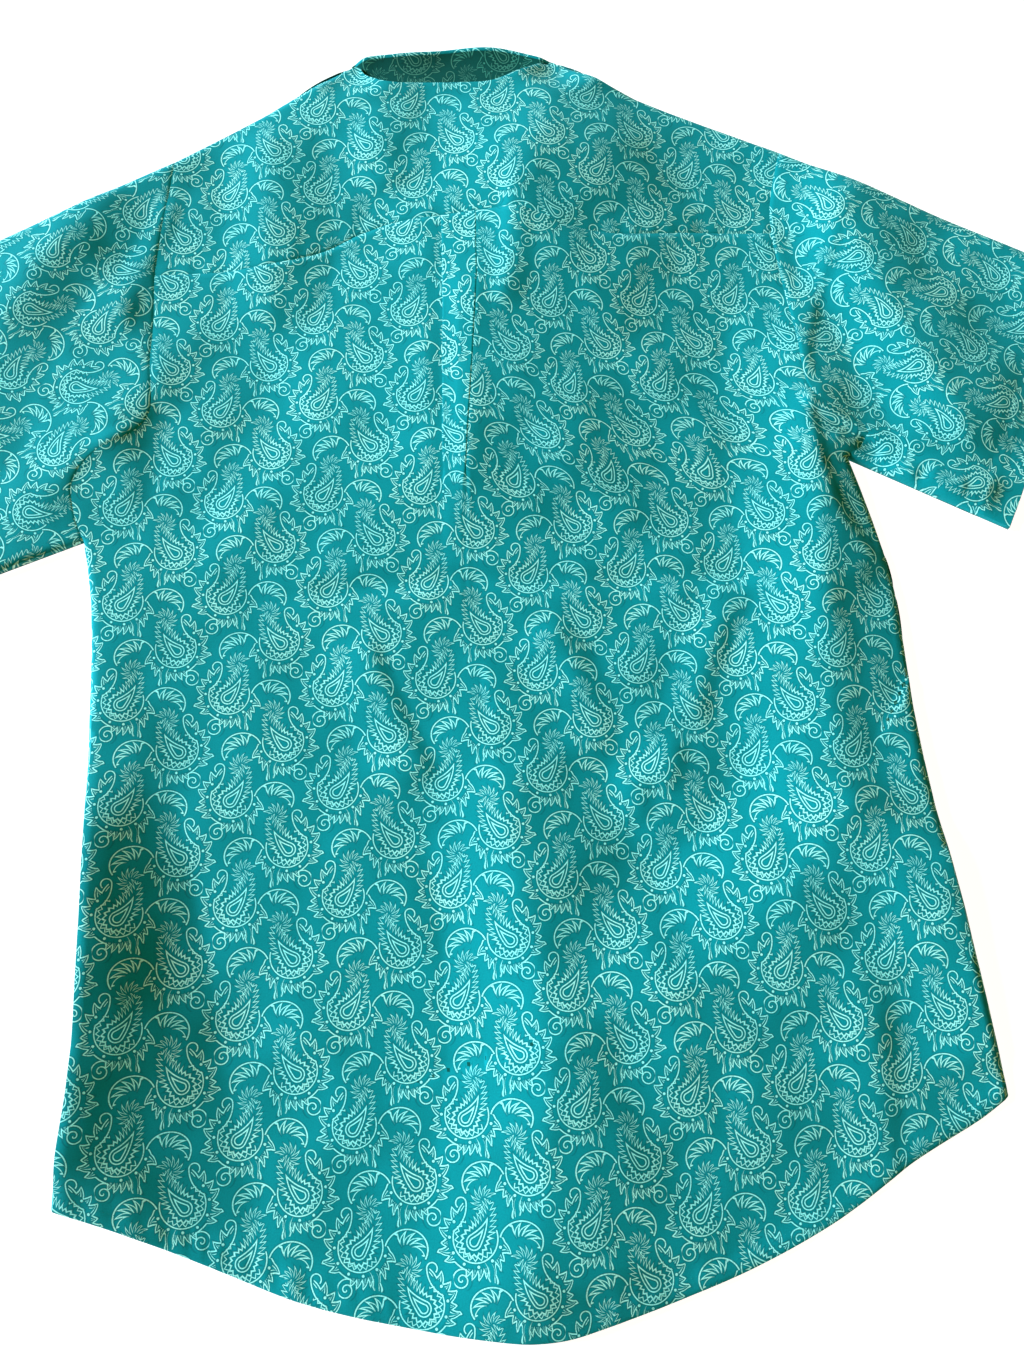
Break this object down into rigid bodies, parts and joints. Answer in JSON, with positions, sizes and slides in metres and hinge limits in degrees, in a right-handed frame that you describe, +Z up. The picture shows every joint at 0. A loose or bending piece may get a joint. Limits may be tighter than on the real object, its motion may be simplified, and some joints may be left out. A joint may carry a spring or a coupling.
{
  "type": "western shirt",
  "caption": "Short-sleeved western shirt lying flat, back upwards, with a yoke, a centre box pleat, a curved shirt-tail hem and a small all-over paisley print.",
  "frame": {"origin": "centre of the shirt's box in plan, on the surface that it lies on", "axes": "+X towards the wearer's right sleeve, +Y towards the collar, +Z up, out of the shirt's back"},
  "size_m": [0.884, 0.8719, 0.02],
  "materials": {
    "shirting": "matte printed cotton poplin, turquoise with a pale mint outline paisley",
    "snaps": "pearl-faced press snaps"
  },
  "bodies": {
    "root": {"back_body": "shirting", "back_yoke": "shirting", "left_front": "shirting", "right_front": "shirting", "front_placket": "shirting", "left_sleeve": "shirting", "right_sleeve": "shirting", "collar_stand": "shirting", "collar_stand_back": "shirting", "collar_leaf_back": "shirting", "collar_leaf_left": "shirting", "collar_leaf_right": "shirting", "snap_1": "snaps", "snap_2": "snaps", "snap_3": "snaps", "snap_4": "snaps", "snap_5": "snaps", "snap_6": "snaps", "snap_7": "snaps"}
  },
  "joints": []
}
